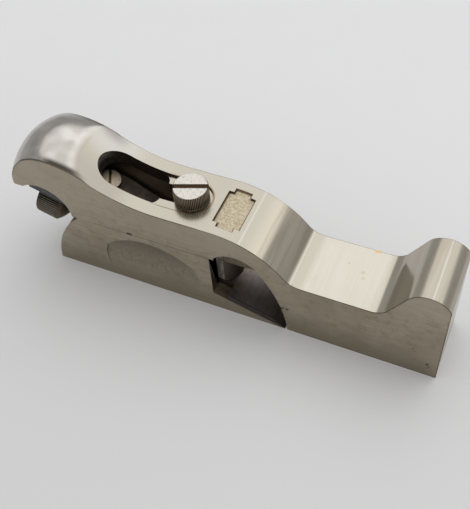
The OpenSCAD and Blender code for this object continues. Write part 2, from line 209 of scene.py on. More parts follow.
# the same, as offsets from a size of the part
DOME_SWEEP_OFF = (-0.3, 2.2)
DOME_BROW_OFF = (0.0, -2.5)
CREASE_SWEEP_OFF = (-0.2, 0.3, 1.0, 3.8)
CREASE_BROW_OFF = (1.0, -3.0)
PANEL_X_OFF = (0.2, 0.05)
PANEL_Y_OFF = (0.2, 0.1)
PANEL_SUNK_OFF = (-0.25, -0.7)
RECESS_Z_OFF = (-1.6, -1.2, -0.1, 0.3)
RECESS_BACK_OFF = (0.0, 6.0)
EDGE_TOP_OFF = (-0.9, -0.6)
EDGE_SIDE_OFF = (-0.2, -0.1)
SLOT_SIDE_OFF = (0.08, 0.0)
SLOT_FLOOR_OFF = (-0.4, -0.2)
SLOT_TOP_OFF = (-0.1, -0.02)

# the same, as distances from a line or an outline
JOINT_NEAR = (0.22, 0.05)
HIGHLIGHT_NEAR = (0.55, 0.0)
RECESS_NEAR = (0.7, 0.25)
CREASE_NEAR = (4.0, 0.0)
PANEL_STRIP = (-0.7, -0.25, 0.05, 0.15)

# how far dirt reaches out of corners, and how wide the dark line along edges is, in millimetres
CASTING_CORNER = 1.0
TURNED_CORNER = 0.7
EDGE_WIDTH = 1.1

# where the painted shade in a knurl's grooves begins, is full, fades and ends, as shares of its depth below
# its ridges
KNURL_SHARES = (1.6, 1.2, 0.8, 0.2)

# directions of faces: part x, y or z of the normal where a face begins to count and where it counts fully
SIDE_NY = (0.75, 0.95)
NOT_UP_NZ = (0.5, 0.2)
DOWN_NZ = (0.0, -0.3)
STEEP_NX = (0.35, 0.55)
HIGHLIGHT_LINE_NZ = (0.6, 0.7)
PANEL_NZ = (0.3, 0.6)
SCOOP_NY = (0.9, 0.98)
HEEL_NX = (-0.6, -0.8)
BED_NZ = (-0.8, -0.6)
CHEEK_NX = (0.7, 0.9)
LEDGE_NZ = (0.7, 0.9)
CUTTER_SIDE_NY = (0.6, 0.9)
CUTTER_EDGE_NY = (0.08, 0.2, 0.9, 0.98)
CAP_NOSE_NX = (0.3, 0.5)
TURNED_TOP_NZ = (0.6, 0.95)
KNURL_NZ = (0.5, 0.3)

# how far the normal of a rounded edge turns from the plain one, as a cosine
EDGE_TURN = (0.99, 0.90)

# painted highlight lines across the top, in millimetres along x
HIGHLIGHT_LINES_X = (10.0, 28.4, 76.0)

# small marks: x, y, z, radius and, where it isn't the usual one, the share of the radius over which it fades
PITS = ((25.2, -SIDE_Y, 13.1, 0.6), (27.2, -SIDE_Y, 13.2, 0.5), (78.7, -SIDE_Y, 6.9, 0.5),
        (79.4, -SIDE_Y, 5.6, 0.3), (73.0, -SIDE_Y, 14.0, 0.25))
SMUDGES = ((49.8, 1.8, DECK_Z, 0.5, 1.0), (50.6, -0.6, DECK_Z, 0.4, 1.0), (44.0, 4.0, DECK_Z, 0.3, 1.0))
LACQUER_SPOTS = ((51.4, 12.4, DECK_Z, 0.6), (52.6, 12.4, DECK_Z, 0.5))

# spans of a noise, or of the darkness of corners, over which a colour or a roughness changes
WIDE_SPAN = (0.3, 0.75)
SOFT_SPAN = (0.3, 0.7)
FIRM_SPAN = (0.35, 0.65)
CAP_STAIN_SPAN = (0.4, 0.7)
SIDE_CLOUD_SPAN = (0.42, 0.72)
SIDE_MOTTLE_SPAN = (0.50, 0.70)
SIDE_SPECK_SPAN = (0.68, 0.78)
TOP_CLOUD_SPAN = (0.45, 0.75)
TOP_SPECK_SPAN = (0.70, 0.80)
TOP_CORNER_SPAN = (0.35, 0.75)
STREAK_SPAN = (0.42, 0.66)
HANDLE_STAIN_SPAN = (0.62, 0.75)
JOINT_SPAN = (0.3, 0.65)
EDGE_SPAN = (0.3, 0.6)
LOWER_CORNER_SPAN = (0.4, 0.8)
STEEL_CLOUD_SPAN = (0.45, 0.7)
STEEL_RUST_SPAN = (0.38, 0.66)
TURNED_FLECK_SPAN = (0.5, 0.75)
TURNED_CORNER_SPAN = (0.15, 0.6)

# levels of uneven lines, at the two ends of their spans
JOINT_LEVELS = (0.35, 0.9)
JOINT_FAINT_LEVELS = (0.2, 1.0)
EDGE_LEVELS = (0.5, 0.95)
RIM_FAR_LEVELS = (1.0, 0.45)
CREASE_LEVELS = (0.0, 0.8)

# roughness: at the two ends of a noise, or what a zone adds to it, or the least that a zone has
TOP_ROUGH = (0.13, 0.18)
SIDE_ADDS = 0.26
TOE_NOSE_ADDS = 0.07
SADDLE_ADDS = 0.08
HANDLE_FACTORS = (1.0, 1.45)
DULL_ROUGH = 0.6
LOWER_ROUGH = (0.38, 0.48)
SCOOP_ADDS = 0.12
BED_ROUGH = 0.65
STEEL_ROUGH = (0.32, 0.5)
CAP_ROUGH = (0.45, 0.7)
TURNED_ROUGH = (0.32, 0.47)
PAPER_ROUGH = 0.85

# heights of bump: shares of the depth, from the top to the handle, and in single zones
LINE_HEIGHTS = (0.3, 0.05)
INNER_HEIGHT = 5.0
POCKET_SHARE = 0.4
PANEL_HEIGHT = 12.0
DENT_HEIGHT = 14.0
SCOOP_HEIGHT = 3.0

# colours of the ground sides
SIDE = ((0.43, 0.377, 0.292), (0.335, 0.29, 0.218))
SIDE_CLOUD = (0.30, 0.252, 0.18)
SIDE_MOTTLE = (0.24, 0.20, 0.14)
SIDE_FOOT_SHADE = (0.27, 0.23, 0.168)
SIDE_HIGH = (0.45, 0.395, 0.31)
SIDE_SPECK = (0.12, 0.09, 0.06)

# colours of the satin top and of the polished handle
TOP = ((0.56, 0.535, 0.465), (0.53, 0.502, 0.43))
TOP_CLOUD = (0.50, 0.455, 0.37)
TARNISH = (0.44, 0.41, 0.345)
TOE_TARNISH = (0.42, 0.375, 0.30)
FILLET_SHADE = (0.42, 0.385, 0.32)
TOE_SLOPE_TARNISH = (0.43, 0.37, 0.285)
RAMP_FAR_LIGHT = (0.50, 0.486, 0.455)
RAMP_NEAR_SHADE = (0.37, 0.34, 0.29)
SLOPE = ((0.56, 0.505, 0.412), (0.40, 0.362, 0.292))
STREAK = (0.36, 0.307, 0.235)
POLISHED = ((0.58, 0.56, 0.525), (0.42, 0.40, 0.365))
POLISHED_BACK_SHADE = (0.35, 0.332, 0.30)
CREASE_HIGHLIGHT = (0.68, 0.66, 0.62)
POLISHED_STAIN = (0.34, 0.27, 0.19)
HIGHLIGHT_LINE = (0.64, 0.62, 0.57)

# colours of edges, dirt, painted shade and dull faces of the castings
RIM_SHADE = (0.035, 0.029, 0.023)
RIM_LINE_SHADE = (0.09, 0.07, 0.05)
FAR_EDGE_SHADE = (0.22, 0.208, 0.19)
EDGE_LINE = (0.09, 0.067, 0.044)
TOP_SPECK = (0.20, 0.14, 0.09)
TOP_DIRT_AND_SHADE = (0.12, 0.078, 0.042)
PANEL = ((0.44, 0.37, 0.25), (0.62, 0.56, 0.43))
PANEL_DIRT = (0.17, 0.11, 0.055)
RECESS_DIRT = (0.24, 0.16, 0.08)
POCKET = ((0.16, 0.125, 0.085), (0.23, 0.185, 0.13))
INNER_AND_SHADE = ((0.05, 0.043, 0.036), (0.09, 0.078, 0.066))
JOINT_DIRT = (0.05, 0.035, 0.02)
PIT = (0.07, 0.05, 0.035)
SMUDGE = (0.42, 0.34, 0.21)
LACQUER = (0.60, 0.36, 0.06)
SCOOP = ((0.27, 0.235, 0.175), (0.34, 0.30, 0.232))
SCOOP_SHADOW = (0.185, 0.163, 0.13)
HEEL = ((0.46, 0.42, 0.34), (0.38, 0.34, 0.26))
BED = ((0.13, 0.105, 0.08), (0.26, 0.215, 0.165))
CHEEK = ((0.18, 0.15, 0.12), (0.33, 0.28, 0.225))
LEDGE = ((0.22, 0.16, 0.105), (0.36, 0.29, 0.21))
LOWER_DIRT_AND_SHADE = (0.05, 0.032, 0.02)

# colours of the cutter and the lever cap
STEEL = ((0.225, 0.198, 0.185), (0.165, 0.144, 0.134))
STEEL_CLOUD = (0.085, 0.07, 0.066)
STEEL_RUST = (0.15, 0.105, 0.062)
STEEL_SIDE_SHADE = (0.055, 0.048, 0.043)
STEEL_EDGE_SHADE = (0.025, 0.021, 0.019)
STEEL_TAIL = ((0.135, 0.138, 0.144), (0.04, 0.04, 0.042))
STEEL_COVERED_SHADOW = (0.038, 0.037, 0.036)
CAP = ((0.10, 0.088, 0.075), (0.50, 0.455, 0.40))
CAP_NOSE_SHADE = (0.13, 0.11, 0.09)
CAP_STAIN_AND_SHADE = ((0.10, 0.082, 0.064), (0.16, 0.132, 0.105))

# colours of the turned pieces: top, side and dirt, which also stands for painted shade in corners and
# knurls, and the inside of a slot
SCREW_METAL = ((0.61, 0.59, 0.54), (0.40, 0.335, 0.262), (0.09, 0.06, 0.036))
SCREW_SLOT = (0.33, 0.27, 0.21)
CAP_SCREW_METAL = ((0.37, 0.305, 0.23), (0.24, 0.195, 0.142), (0.05, 0.035, 0.021))
CAP_SCREW_SLOT = (0.20, 0.14, 0.084)
STUD_METAL = ((0.30, 0.27, 0.23), (0.22, 0.19, 0.155), (0.05, 0.038, 0.026))
NUT_METAL = ((0.11, 0.095, 0.077), (0.20, 0.172, 0.138), (0.018, 0.014, 0.010))

# share of its dirt's colour that the painted shade in the grooves of a knurl keeps
KNURL_SHADE_SHARE = 0.2

# depths of bump, in metres, and the direction that softens the crease of the sweep
GRAIN_DEPTH = 0.008 * MM
CAST_DEPTH = 0.10 * MM
TURNED_DEPTH = 0.006 * MM
CREASE_NORMAL = (0.38, 0.0, 0.925)

# sockets a, b and result of a Mix node, and operations on vectors that give a number
MIX_SOCKETS = {"RGBA": (6, 7, 2), "VECTOR": (4, 5, 1)}
NUMBER_RESULTS = ("LENGTH", "DISTANCE", "DOT_PRODUCT")


class Shader:
    """A material whose node tree is written as calls; places are in millimetres of the part."""

    def __init__(self, name, metallic=1.0):
        self.material = bpy.data.materials.new(name)
        self.material.use_nodes = True
        self.tree = self.material.node_tree
        self.tree.nodes.clear()
        self.surface = self.add("ShaderNodeBsdfPrincipled")
        self.surface.inputs["Metallic"].default_value = metallic
        output = self.add("ShaderNodeOutputMaterial")
        self.tree.links.new(self.surface.outputs["BSDF"], output.inputs["Surface"])
        coords = self.add("ShaderNodeTexCoord")
        self.place = self.vector("SCALE", coords.outputs["Object"], scale=1 / MM)
        self.x, self.y, self.z = self.split(self.place)
        self.nx, self.ny, self.nz = self.split(coords.outputs["Normal"])
        self.away = self.math("ABSOLUTE", self.y)

    def add(self, kind, **settings):
        """New node with its settings."""
        node = self.tree.nodes.new(kind)
        for key, value in settings.items():
            setattr(node, key, value)
        return node

    def put(self, socket, value):
        """Links a socket to another one, or sets its value."""
        if isinstance(value, bpy.types.NodeSocket):
            self.tree.links.new(value, socket)
        elif isinstance(value, tuple) and len(value) == 3 and socket.type == "RGBA":
            socket.default_value = (*value, 1.0)
        else:
            socket.default_value = value

    def split(self, vector):
        """Parts x, y and z of a vector."""
        node = self.add("ShaderNodeSeparateXYZ")
        self.put(node.inputs[0], vector)
        return node.outputs[0], node.outputs[1], node.outputs[2]

    def join(self, x, y, z):
        """Vector made of three parts."""
        node = self.add("ShaderNodeCombineXYZ")
        for socket, value in zip(node.inputs, (x, y, z)):
            self.put(socket, value)
        return node.outputs[0]

    def math(self, operation, a, b=None):
        """One operation on numbers."""
        node = self.add("ShaderNodeMath", operation=operation)
        self.put(node.inputs[0], a)
        if b is not None:
            self.put(node.inputs[1], b)
        return node.outputs[0]

    def vector(self, operation, a, b=None, scale=None):
        """One operation on vectors."""
        node = self.add("ShaderNodeVectorMath", operation=operation)
        self.put(node.inputs[0], a)
        if b is not None:
            self.put(node.inputs[1], b)
        if scale is not None:
            node.inputs["Scale"].default_value = scale
        return node.outputs["Value" if operation in NUMBER_RESULTS else 0]

    def chain(self, operation, values):
        """Several numbers joined by one operation."""
        result = values[0]
        for value in values[1:]:
            result = self.math(operation, result, value)
        return result

    def times(self, *values):
        """Product of the values."""
        return self.chain("MULTIPLY", values)

    def plus(self, *values):
        """Sum of the values."""
        return self.chain("ADD", values)

    def most(self, *values):
        """Largest of the values."""
        return self.chain("MAXIMUM", values)

    def apart(self, a, b):
        """Distance between two numbers."""
        return self.math("ABSOLUTE", self.math("SUBTRACT", a, b))

    def without(self, zone):
        """All that lies outside a zone."""
        return self.math("SUBTRACT", 1.0, zone)

    def ramp(self, value, low, high, start=0.0, end=1.0):
        """Smooth change from start to end while the value goes from low to high, which may lie below low."""
        node = self.add("ShaderNodeMapRange", interpolation_type="SMOOTHSTEP")
        for socket, number in zip(node.inputs, (value, low, high, start, end)):
            self.put(socket, number)
        return node.outputs[0]

    def band(self, value, begins, full, fades, ends):
        """Rises from zero to one, stays there, and falls to zero again."""
        return self.times(self.ramp(value, begins, full), self.ramp(value, ends, fades))

    def mix(self, amount, a, b, kind="RGBA"):
        """From a to b, two colours or two vectors, by an amount from zero to one."""
        socket_a, socket_b, result = MIX_SOCKETS[kind]
        node = self.add("ShaderNodeMix", data_type=kind)
        self.put(node.inputs["Factor"], amount)
        self.put(node.inputs[socket_a], a)
        self.put(node.inputs[socket_b], b)
        return node.outputs[result]

    def tint(self, colour, new, strength, *zones):
        """Lays a new colour over another where all the zones overlap, up to a strength."""
        return self.mix(self.times(*zones, strength), colour, new)

    def vary(self, noise, span, colours):
        """Goes from one of two colours to the other while a noise goes through a span."""
        return self.mix(self.ramp(noise, *span), *colours)

    def noise(self, stretch, detail=3.0, roughness=0.55, shift=0.0):
        """Noise with so many features per millimetre along each axis."""
        node = self.add("ShaderNodeTexNoise")
        place = self.vector("MULTIPLY", self.place, stretch)
        if shift:
            place = self.vector("ADD", place, (shift, shift, shift))
        self.put(node.inputs["Vector"], place)
        self.put(node.inputs["Scale"], 1.0)
        self.put(node.inputs["Detail"], detail)
        self.put(node.inputs["Roughness"], roughness)
        return node.outputs[0]

    def spot(self, x, y, z, radius, soft=0.4):
        """A round mark on the surface near a point."""
        distance = self.vector("DISTANCE", self.place, (x, y, z))
        return self.ramp(distance, radius * (1 + soft), radius)

    def spots(self, places):
        """Several round marks."""
        return self.most(*[self.spot(*place) for place in places])

    def crevice(self, reach):
        """Rises towards one in corners and gaps that are about as narrow as a reach in millimetres."""
        node = self.add("ShaderNodeAmbientOcclusion", samples=8, only_local=True)
        node.inputs["Distance"].default_value = reach * MM
        return self.without(node.outputs["AO"])

    def edges(self, width):
        """One near the edges of the solid, zero further away from them than a width in millimetres."""
        soft = self.add("ShaderNodeBevel", samples=8)
        soft.inputs["Radius"].default_value = width * MM
        plain = self.add("ShaderNodeNewGeometry")
        turn = self.vector("DOT_PRODUCT", soft.outputs["Normal"], plain.outputs["Normal"])
        return self.ramp(turn, *EDGE_TURN)

    def leaning(self, direction, amount):
        """Shading normal, turned towards a direction as far as the amount says."""
        plain = self.add("ShaderNodeNewGeometry")
        return self.vector("NORMALIZE", self.mix(amount, plain.outputs["Normal"], direction, "VECTOR"))

    def finish(self, colour, roughness, height=None, depth=0.0, normal=None):
        """Sets the surface, with a bump of some depth on a shading normal, and returns the material."""
        self.put(self.surface.inputs["Base Color"], colour)
        self.put(self.surface.inputs["Roughness"], roughness)
        if height is not None:
            bump = self.add("ShaderNodeBump")
            bump.inputs["Distance"].default_value = depth
            self.put(bump.inputs["Height"], height)
            if normal is not None:
                self.put(bump.inputs["Normal"], normal)
            self.tree.links.new(bump.outputs["Normal"], self.surface.inputs["Normal"])
        return self.material


def around(place, offsets):
    """Places at some offsets from one place."""
    return [place + offset for offset in offsets]


class Plating(Shader):
    """Worn nickel of both castings: sides with a lengthwise grain, clouds and flecks."""

    def __init__(self, name):
        super().__init__(name)
        self.side = self.ramp(self.math("ABSOLUTE", self.ny), *SIDE_NY)
        self.along = self.noise((0.10, 1.0, 3.6))
        self.cloud = self.noise((0.06, 0.06, 0.06), shift=4.0)
        self.fleck = self.noise((0.9, 0.9, 0.9), detail=5.0, shift=9.0)


class UpperPlating(Plating):
    """Plating of the upper casting, with fine lines across its top and the zones of its faces."""

    def __init__(self):
        super().__init__("upper_plating")
        self.on_top = self.without(self.side)
        self.across = self.noise((4.0, 0.05, 4.0))
        self.dent = self.noise((0.13, 0.13, 0.13), detail=1.0, shift=33.0)
        self.stipple = self.noise((1.6, 1.6, 1.6), shift=21.0)
        self.high = self.ramp(self.z, *TOP_Z)
        self.toe = self.ramp(self.x, *TOE_X)
        profile = self.join(self.x, 0.0, self.z)
        self.off_sweep = self.vector("DISTANCE", profile, SWEEP_CENTRE)
        self.off_hump = self.vector("DISTANCE", profile, HUMP_CENTRE)
        self.dome = self.dome_zone()
        self.inner = self.inner_zone()
        self.pocket = self.pocket_zone()
        self.panel = self.panel_zone()

    def dome_zone(self):
        """Polished handle behind the sweep."""
        past_sweep = self.ramp(self.off_sweep, *around(SWEEP_R, DOME_SWEEP_OFF))
        behind = self.ramp(self.x, *around(BROW_X, DOME_BROW_OFF))
        return self.times(past_sweep, behind, self.ramp(self.z, *HANDLE_Z), self.on_top)

    def inner_zone(self):
        """Faces inside the casting, and those that look down, apart from the sole; on those that look down
        the dark is painted shade.
        """
        inside = self.times(self.ramp(self.away, *INNER_AWAY), self.ramp(self.nz, *NOT_UP_NZ),
                            self.band(self.x, *INNER_X))
        below = self.times(self.ramp(self.nz, *DOWN_NZ), self.ramp(self.z, *ABOVE_SOLE_Z))
        return self.most(inside, below)

    def pocket_zone(self):
        """Walls and ceiling of the throat on either side of its middle."""
        return self.times(self.band(self.away, *POCKET_AWAY), self.band(self.x, *POCKET_X),
                          self.ramp(self.z, *POCKET_Z), self.ramp(self.nz, *NOT_UP_NZ))

    def panel_zone(self):
        """Sunk floor of the notched panel."""
        in_x = self.ramp(self.apart(self.x, PANEL_CENTRE_X), *around(PANEL_HALF_X, PANEL_X_OFF))
        in_y = self.ramp(self.away, *around(PANEL_HALF_Y, PANEL_Y_OFF))
        sunk = self.ramp(self.off_hump, *around(HUMP_R, PANEL_SUNK_OFF))
        return self.times(in_x, in_y, self.ramp(self.z, *PANEL_Z), sunk)


def side_colour(s):
    """Ground sides: grey brown, with a lengthwise grain, clouds, a few dark specks, and painted shade
    towards the foot.
    """
    mottle = s.noise((0.35, 0.35, 0.35), detail=4.0, shift=17.0)
    colour = s.vary(s.along, WIDE_SPAN, SIDE)
    colour = s.tint(colour, SIDE_CLOUD, 0.6, s.ramp(s.cloud, *SIDE_CLOUD_SPAN))
    colour = s.tint(colour, SIDE_MOTTLE, 0.45, s.ramp(mottle, *SIDE_MOTTLE_SPAN))
    # painted shade: the sides darken towards the foot
    colour = s.tint(colour, SIDE_FOOT_SHADE, 0.7, s.ramp(s.z, *FOOT_Z))
    colour = s.tint(colour, SIDE_HIGH, 0.5, s.ramp(s.z, *HIGH_SIDE_Z))
    return s.tint(colour, SIDE_SPECK, 0.4, s.ramp(s.fleck, *SIDE_SPECK_SPAN))


def joint_line(s):
    """Thin dark line along the joint of the two castings, with one black nick in it."""
    near = s.ramp(s.apart(s.z, JOINT_Z), *JOINT_NEAR)
    line = s.times(near, s.ramp(s.fleck, *JOINT_SPAN, *JOINT_LEVELS), s.side, s.ramp(s.x, *JOINT_FRONT_X),
                   s.ramp(s.x, *JOINT_FAINT_X, *JOINT_FAINT_LEVELS))
    nick = s.times(s.band(s.x, *NICK_X), s.band(s.z, *NICK_Z), s.ramp(s.y, *NICK_Y), s.side)
    return s.most(line, nick)


def top_colour(s):
    """Satin top: fine lines across, clouds, the tarnish and wear of its curves, and painted light and shade
    on its fillet and ramp.
    """
    top = s.vary(s.across, WIDE_SPAN, TOP)
    top = s.tint(top, TOP_CLOUD, 0.3, s.ramp(s.cloud, *TOP_CLOUD_SPAN))
    top = s.tint(top, TARNISH, 0.9, s.most(s.toe, s.ramp(s.x, *HUMP_TARNISH_X)))
    top = s.tint(top, TOE_TARNISH, 0.25, s.toe)
    # painted shade: a darker band along the fillet at the foot of the hump
    top = s.tint(top, FILLET_SHADE, 0.6, s.band(s.x, *FILLET_X))
    top = s.tint(top, TOE_SLOPE_TARNISH, 0.35, s.band(s.x, *TOE_SLOPE_X))
    # painted light on the far half of the ramp, painted shade on its near half
    top = s.tint(top, RAMP_FAR_LIGHT, 0.8, s.ramp(s.x, *RAMP_FAR_X), s.ramp(s.y, *RAMP_FAR_Y))
    top = s.tint(top, RAMP_NEAR_SHADE, 1.0, s.band(s.x, *RAMP_NEAR_X), s.ramp(s.y, *RAMP_NEAR_Y))
    steep = s.ramp(s.math("ABSOLUTE", s.nx), *STEEP_NX)
    worn = s.mix(s.band(s.x, *SLOPE_FOOT_X), *SLOPE)
    top = s.tint(top, worn, 0.85, steep, s.band(s.x, *SLOPE_X))
    streak = s.noise((0.5, 0.03, 0.5), detail=2.0, shift=41.0)
    streaked = s.most(s.band(s.x, *STREAKED_X), s.toe)
    return s.tint(top, STREAK, 0.5, s.ramp(streak, *STREAK_SPAN), streaked)


def handle_colour(s):
    """Polished handle: faint dents with painted reflection blotches, painted shade behind, a painted
    highlight along the crease, a few stains.
    """
    crease_highlight = s.band(s.off_sweep, *around(SWEEP_R, CREASE_SWEEP_OFF))
    # painted reflection: bright and dark blotches that follow the dents
    colour = s.vary(s.dent, FIRM_SPAN, POLISHED)
    # painted shade towards the back of the handle
    colour = s.tint(colour, POLISHED_BACK_SHADE, 0.35, s.ramp(s.x, *HANDLE_BACK_X))
    # painted highlight along the crease
    colour = s.tint(colour, CREASE_HIGHLIGHT, 0.45, crease_highlight)
    return s.tint(colour, POLISHED_STAIN, 0.35, s.ramp(s.fleck, *HANDLE_STAIN_SPAN))


def highlight_lines(s):
    """Thin painted highlight lines across the top of its curves."""
    lines = [s.ramp(s.apart(s.x, x), *HIGHLIGHT_NEAR) for x in HIGHLIGHT_LINES_X]
    return s.times(s.most(*lines), s.ramp(s.nz, *HIGHLIGHT_LINE_NZ))


def rim_tints(s, colour):
    """Painted shade along the rim of the handle, fainter on the far side, painted shade on the far edge of
    the ramp, a thin line of painted shade on the rim, and painted highlight lines.
    """
    shade = s.times(s.ramp(s.away, *RIM_SHADE_AWAY), s.band(s.x, *RIM_SHADE_X), s.on_top, s.high,
                    s.ramp(s.y, *RIM_FAR_Y, *RIM_FAR_LEVELS))
    far_edge_shade = s.times(s.ramp(s.y, *FAR_EDGE_Y), s.band(s.x, *FAR_EDGE_X), s.on_top)
    rim = s.times(s.ramp(s.away, *RIM_AWAY), s.band(s.x, *RIM_X), s.on_top, s.high)
    # painted shade: dark wedge along the rim of the handle
    colour = s.tint(colour, RIM_SHADE, 0.95, shade)
    # painted shade on the rounded far edge of the ramp
    colour = s.tint(colour, FAR_EDGE_SHADE, 0.6, far_edge_shade)
    # painted highlight lines across the curves
    colour = s.tint(colour, HIGHLIGHT_LINE, 0.45, highlight_lines(s))
    # painted shade: thin dark line right on the rim
    return s.tint(colour, RIM_LINE_SHADE, 0.85, rim)


def past_panel(s, half_x, half_y):
    """How far a place lies outside a rectangle round the middle of the panel."""
    past_x = s.math("SUBTRACT", s.apart(s.x, PANEL_CENTRE_X), half_x)
    past_y = s.math("SUBTRACT", s.away, half_y)
    return s.most(past_x, past_y)


def panel_outline(s):
    """Strip along the inside of the edge of the notched panel."""
    wide = past_panel(s, PANEL_HALF_X, PANEL_HALF_Y - PANEL_NOTCH)
    long = past_panel(s, PANEL_HALF_X - PANEL_NOTCH, PANEL_HALF_Y)
    strip = s.band(s.math("MINIMUM", wide, long), *PANEL_STRIP)
    return s.times(strip, s.ramp(s.z, *PANEL_Z), s.ramp(s.nz, *PANEL_NZ))


def recess_edge(s):
    """Strip along the foot of the wall round the recess of the body screw."""
    behind, front = RECESS_X
    past = s.most(s.math("SUBTRACT", s.x, front), 0.0)
    off = s.vector("LENGTH", s.join(past, s.y, 0.0))
    near = s.ramp(s.apart(off, RECESS_HALF_WIDTH), *RECESS_NEAR)
    level = s.band(s.z, *around(SADDLE_Z, RECESS_Z_OFF))
    return s.times(near, s.ramp(s.x, *around(behind, RECESS_BACK_OFF)), level)


def dirt_tints(s, colour):
    """Specks, dirt and painted shade in the corners, and the stippled panel with dirt along its edge."""
    colour = s.tint(colour, TOP_SPECK, 0.35, s.ramp(s.fleck, *TOP_SPECK_SPAN))
    # brown dirt with painted shade, in the corners
    colour = s.tint(colour, TOP_DIRT_AND_SHADE, 0.9, s.ramp(s.crevice(CASTING_CORNER), *TOP_CORNER_SPAN))
    colour = s.mix(s.panel, colour, s.vary(s.stipple, FIRM_SPAN, PANEL))
    colour = s.tint(colour, PANEL_DIRT, 0.8, panel_outline(s))
    return s.tint(colour, RECESS_DIRT, 0.85, recess_edge(s))


def edge_line(s):
    """Uneven dark line along the upper edge of the sides."""
    deck = s.times(s.ramp(s.x, *EDGE_DECK_X), s.ramp(s.z, *around(DECK_Z, EDGE_TOP_OFF)))
    saddle = s.ramp(s.z, *around(SADDLE_Z, EDGE_TOP_OFF))
    hump = s.times(s.ramp(s.off_hump, *around(HUMP_R, EDGE_TOP_OFF)), s.ramp(s.x, *EDGE_HUMP_X))
    outside = s.ramp(s.away, *around(SIDE_Y, EDGE_SIDE_OFF))
    uneven = s.ramp(s.cloud, *EDGE_SPAN, *EDGE_LEVELS)
    return s.times(s.edges(EDGE_WIDTH), outside, s.most(deck, saddle, hump), uneven)


def small_marks(s, colour):
    """Pits in the side, smudges on the deck, and two spots of old lacquer on its far edge."""
    colour = s.tint(colour, PIT, 0.85, s.spots(PITS))
    colour = s.tint(colour, SMUDGE, 0.35, s.spots(SMUDGES))
    return s.tint(colour, LACQUER, 0.7, s.spots(LACQUER_SPOTS))


def upper_roughness(s):
    """Satin top, rougher sides, toe, saddle and handle, and dull inner faces."""
    roughness = s.plus(s.ramp(s.across, *SOFT_SPAN, *TOP_ROUGH), s.times(s.side, SIDE_ADDS),
                       s.times(s.ramp(s.x, *TOE_NOSE_X), s.on_top, TOE_NOSE_ADDS),
                       s.times(s.band(s.x, *SADDLE_X), s.on_top, SADDLE_ADDS))
    roughness = s.times(roughness, s.ramp(s.dome, 0.0, 1.0, *HANDLE_FACTORS))
    return s.most(roughness, s.times(s.most(s.inner, s.pocket, s.panel), DULL_ROUGH))


def upper_height(s):
    """Fine lines on top, grain on the sides, rough inner faces, stipple and dents."""
    lines = s.times(s.across, s.on_top, s.ramp(s.dome, 0.0, 1.0, *LINE_HEIGHTS))
    rough = s.times(s.fleck, s.most(s.inner, s.times(s.pocket, POCKET_SHARE)), INNER_HEIGHT)
    return s.plus(lines, s.times(s.along, s.side), rough, s.times(s.stipple, s.panel, PANEL_HEIGHT),
                  s.times(s.dent, s.dome, DENT_HEIGHT))


def soft_crease(s):
    """Shading normal that softens the crease where the sweep meets the handle."""
    near = s.ramp(s.apart(s.off_sweep, SWEEP_R), *CREASE_NEAR, *CREASE_LEVELS)
    behind = s.ramp(s.x, *around(BROW_X, CREASE_BROW_OFF))
    return s.leaning(CREASE_NORMAL, s.times(near, behind, s.on_top, s.ramp(s.z, *CREASE_Z)))


def upper_plating():
    """Worn plating of the upper casting: satin top, polished handle, duller sides, stained inner faces, and
    painted light and shade on its curves, rims and undersides.
    """
    s = UpperPlating()
    colour = s.mix(s.side, top_colour(s), side_colour(s))
    colour = s.mix(s.dome, colour, handle_colour(s))
    colour = rim_tints(s, colour)
    colour = dirt_tints(s, colour)
    colour = s.mix(edge_line(s), colour, EDGE_LINE)
    colour = s.mix(s.pocket, colour, s.vary(s.fleck, SOFT_SPAN, POCKET))
    # dark inner faces, and painted shade on faces that look down
    colour = s.mix(s.inner, colour, s.vary(s.fleck, FIRM_SPAN, INNER_AND_SHADE))
    colour = s.mix(joint_line(s), colour, JOINT_DIRT)
    colour = small_marks(s, colour)
    return s.finish(colour, upper_roughness(s), upper_height(s), GRAIN_DEPTH, soft_crease(s))


